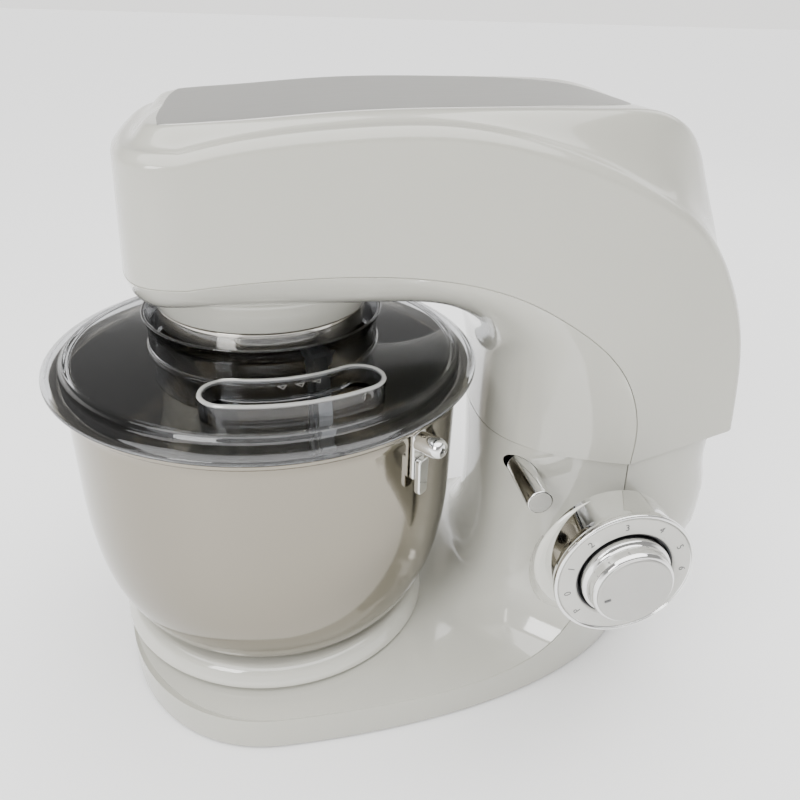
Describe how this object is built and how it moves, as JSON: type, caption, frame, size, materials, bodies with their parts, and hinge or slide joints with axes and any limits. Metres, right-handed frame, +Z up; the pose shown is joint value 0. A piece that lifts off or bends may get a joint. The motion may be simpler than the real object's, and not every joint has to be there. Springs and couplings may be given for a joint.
{
  "type": "stand mixer",
  "caption": "Tilt-head planetary stand mixer with a steel bowl, clear splash lid with feeding chute, chrome speed dial and release button.",
  "frame": {"origin": "middle of the footprint, on the table", "axes": "+Z up, +X from the nose of the head to the column behind, the speed dial is on the -Y side"},
  "size_m": [0.405, 0.294, 0.3566],
  "materials": {
    "gloss_white": "high gloss moulded plastic",
    "cover_white": "semi-gloss moulded plastic",
    "satin_grey": "satin, metallic grey",
    "polished_steel": "mirror polished stainless steel",
    "chrome": "bright chrome plating",
    "cast_aluminium": "satin cast",
    "gear_steel": "machined steel",
    "black_plastic": "matte black",
    "grey_rubber": "soft grey rubber",
    "copper": "copper windings",
    "circuit_board": "green laminate",
    "clear_plastic": "clear polycarbonate"
  },
  "bodies": {
    "base": {"base_housing": "cover_white", "base_liner": "gloss_white", "bottom_plate": "black_plastic", "bowl_seat": "gloss_white", "hinge_lug_left": "cast_aluminium", "hinge_lug_right": "cast_aluminium", "hinge_pin": "gear_steel", "dial_pod": "gloss_white", "dial_ring": "chrome", "speed_control": "black_plastic", "control_board": "circuit_board", "cord_inlet": "black_plastic", "release_spring": "gear_steel", "suction_foot_1": "grey_rubber", "suction_foot_2": "grey_rubber", "suction_foot_3": "grey_rubber", "suction_foot_4": "grey_rubber", "suction_foot_5": "grey_rubber", "suction_foot_6": "grey_rubber"},
    "head": {"head_cover": "cover_white", "head_liner": "gloss_white", "top_panel": "satin_grey", "hub_collar": "gloss_white", "ring_gear": "gear_steel", "gearbox_plate": "cast_aluminium", "gearbox_cover": "cast_aluminium", "gearbox_post_left": "cast_aluminium", "gearbox_post_right": "cast_aluminium", "hinge_arm_left": "cast_aluminium", "hinge_arm_right": "cast_aluminium", "hinge_bush_left": "black_plastic", "hinge_bush_right": "black_plastic", "motor_field": "gear_steel", "motor_bracket": "cast_aluminium", "drive_belt": "black_plastic", "latch_keeper": "gear_steel"},
    "hub": {"planet_carrier": "polished_steel", "hub_spindle": "gear_steel", "main_gear": "gear_steel"},
    "beater": {"beater_shaft": "polished_steel", "planet_gear": "gear_steel", "flat_beater": "cast_aluminium"},
    "layshaft": {"layshaft": "gear_steel", "layshaft_pinion": "gear_steel", "belt_wheel": "black_plastic"},
    "motor_rotor": {"motor_shaft": "gear_steel", "armature": "copper", "motor_pulley": "gear_steel", "cooling_fan": "black_plastic"},
    "knob": {"speed_knob": "chrome", "knob_cap": "satin_grey", "speed_control_shaft": "cast_aluminium"},
    "release": {"release_button": "chrome", "release_rod": "gear_steel", "latch_hook": "gear_steel"},
    "bowl": {"bowl": "polished_steel", "bowl_foot_ring": "polished_steel", "bowl_handle": "chrome"},
    "lid": {"splash_lid": "clear_plastic"}
  },
  "joints": [
    {"name": "head_tilt", "type": "hinge", "parent": "base", "child": "head", "pos_m": [0.1715, 0.019, 0.178], "axis": [0, 1, 0], "range_deg": [0, 35]},
    {"name": "hub_spin", "type": "hinge", "parent": "head", "child": "hub", "pos_m": [-0.0745, 0.019, 0.236], "axis": [0, 0, 1], "continuous": true},
    {"name": "beater_spin", "type": "hinge", "parent": "hub", "child": "beater", "pos_m": [-0.0425, 0.019, 0.236], "axis": [0, 0, 1], "continuous": true},
    {"name": "layshaft_spin", "type": "hinge", "parent": "head", "child": "layshaft", "pos_m": [-0.0145, 0.019, 0.3], "axis": [0, 0, 1], "continuous": true},
    {"name": "motor_spin", "type": "hinge", "parent": "head", "child": "motor_rotor", "pos_m": [0.1105, 0.019, 0.25], "axis": [0, 0, 1], "continuous": true},
    {"name": "knob_turn", "type": "hinge", "parent": "base", "child": "knob", "pos_m": [0.1035, -0.135, 0.1386], "axis": [0, 1, 0], "range_deg": [-25, 180]},
    {"name": "release_press", "type": "slide", "parent": "base", "child": "release", "axis": [0, 1, 0], "range_m": [0, 0.005], "stiffness_N_per_m": 300},
    {"name": "bowl_twist", "type": "hinge", "parent": "base", "child": "bowl", "pos_m": [-0.0745, 0.019, 0.04], "axis": [0, 0, 1], "range_deg": [0, 20]},
    {"name": "lid_twist", "type": "hinge", "parent": "head", "child": "lid", "pos_m": [-0.0745, 0.019, 0.21], "axis": [0, 0, 1], "range_deg": [0, 20]}
  ],
  "couplings": [
    {"joint": "beater_spin", "follows": "hub_spin", "ratio": -3},
    {"joint": "layshaft_spin", "follows": "hub_spin", "ratio": -5},
    {"joint": "motor_spin", "follows": "hub_spin", "ratio": -25}
  ]
}
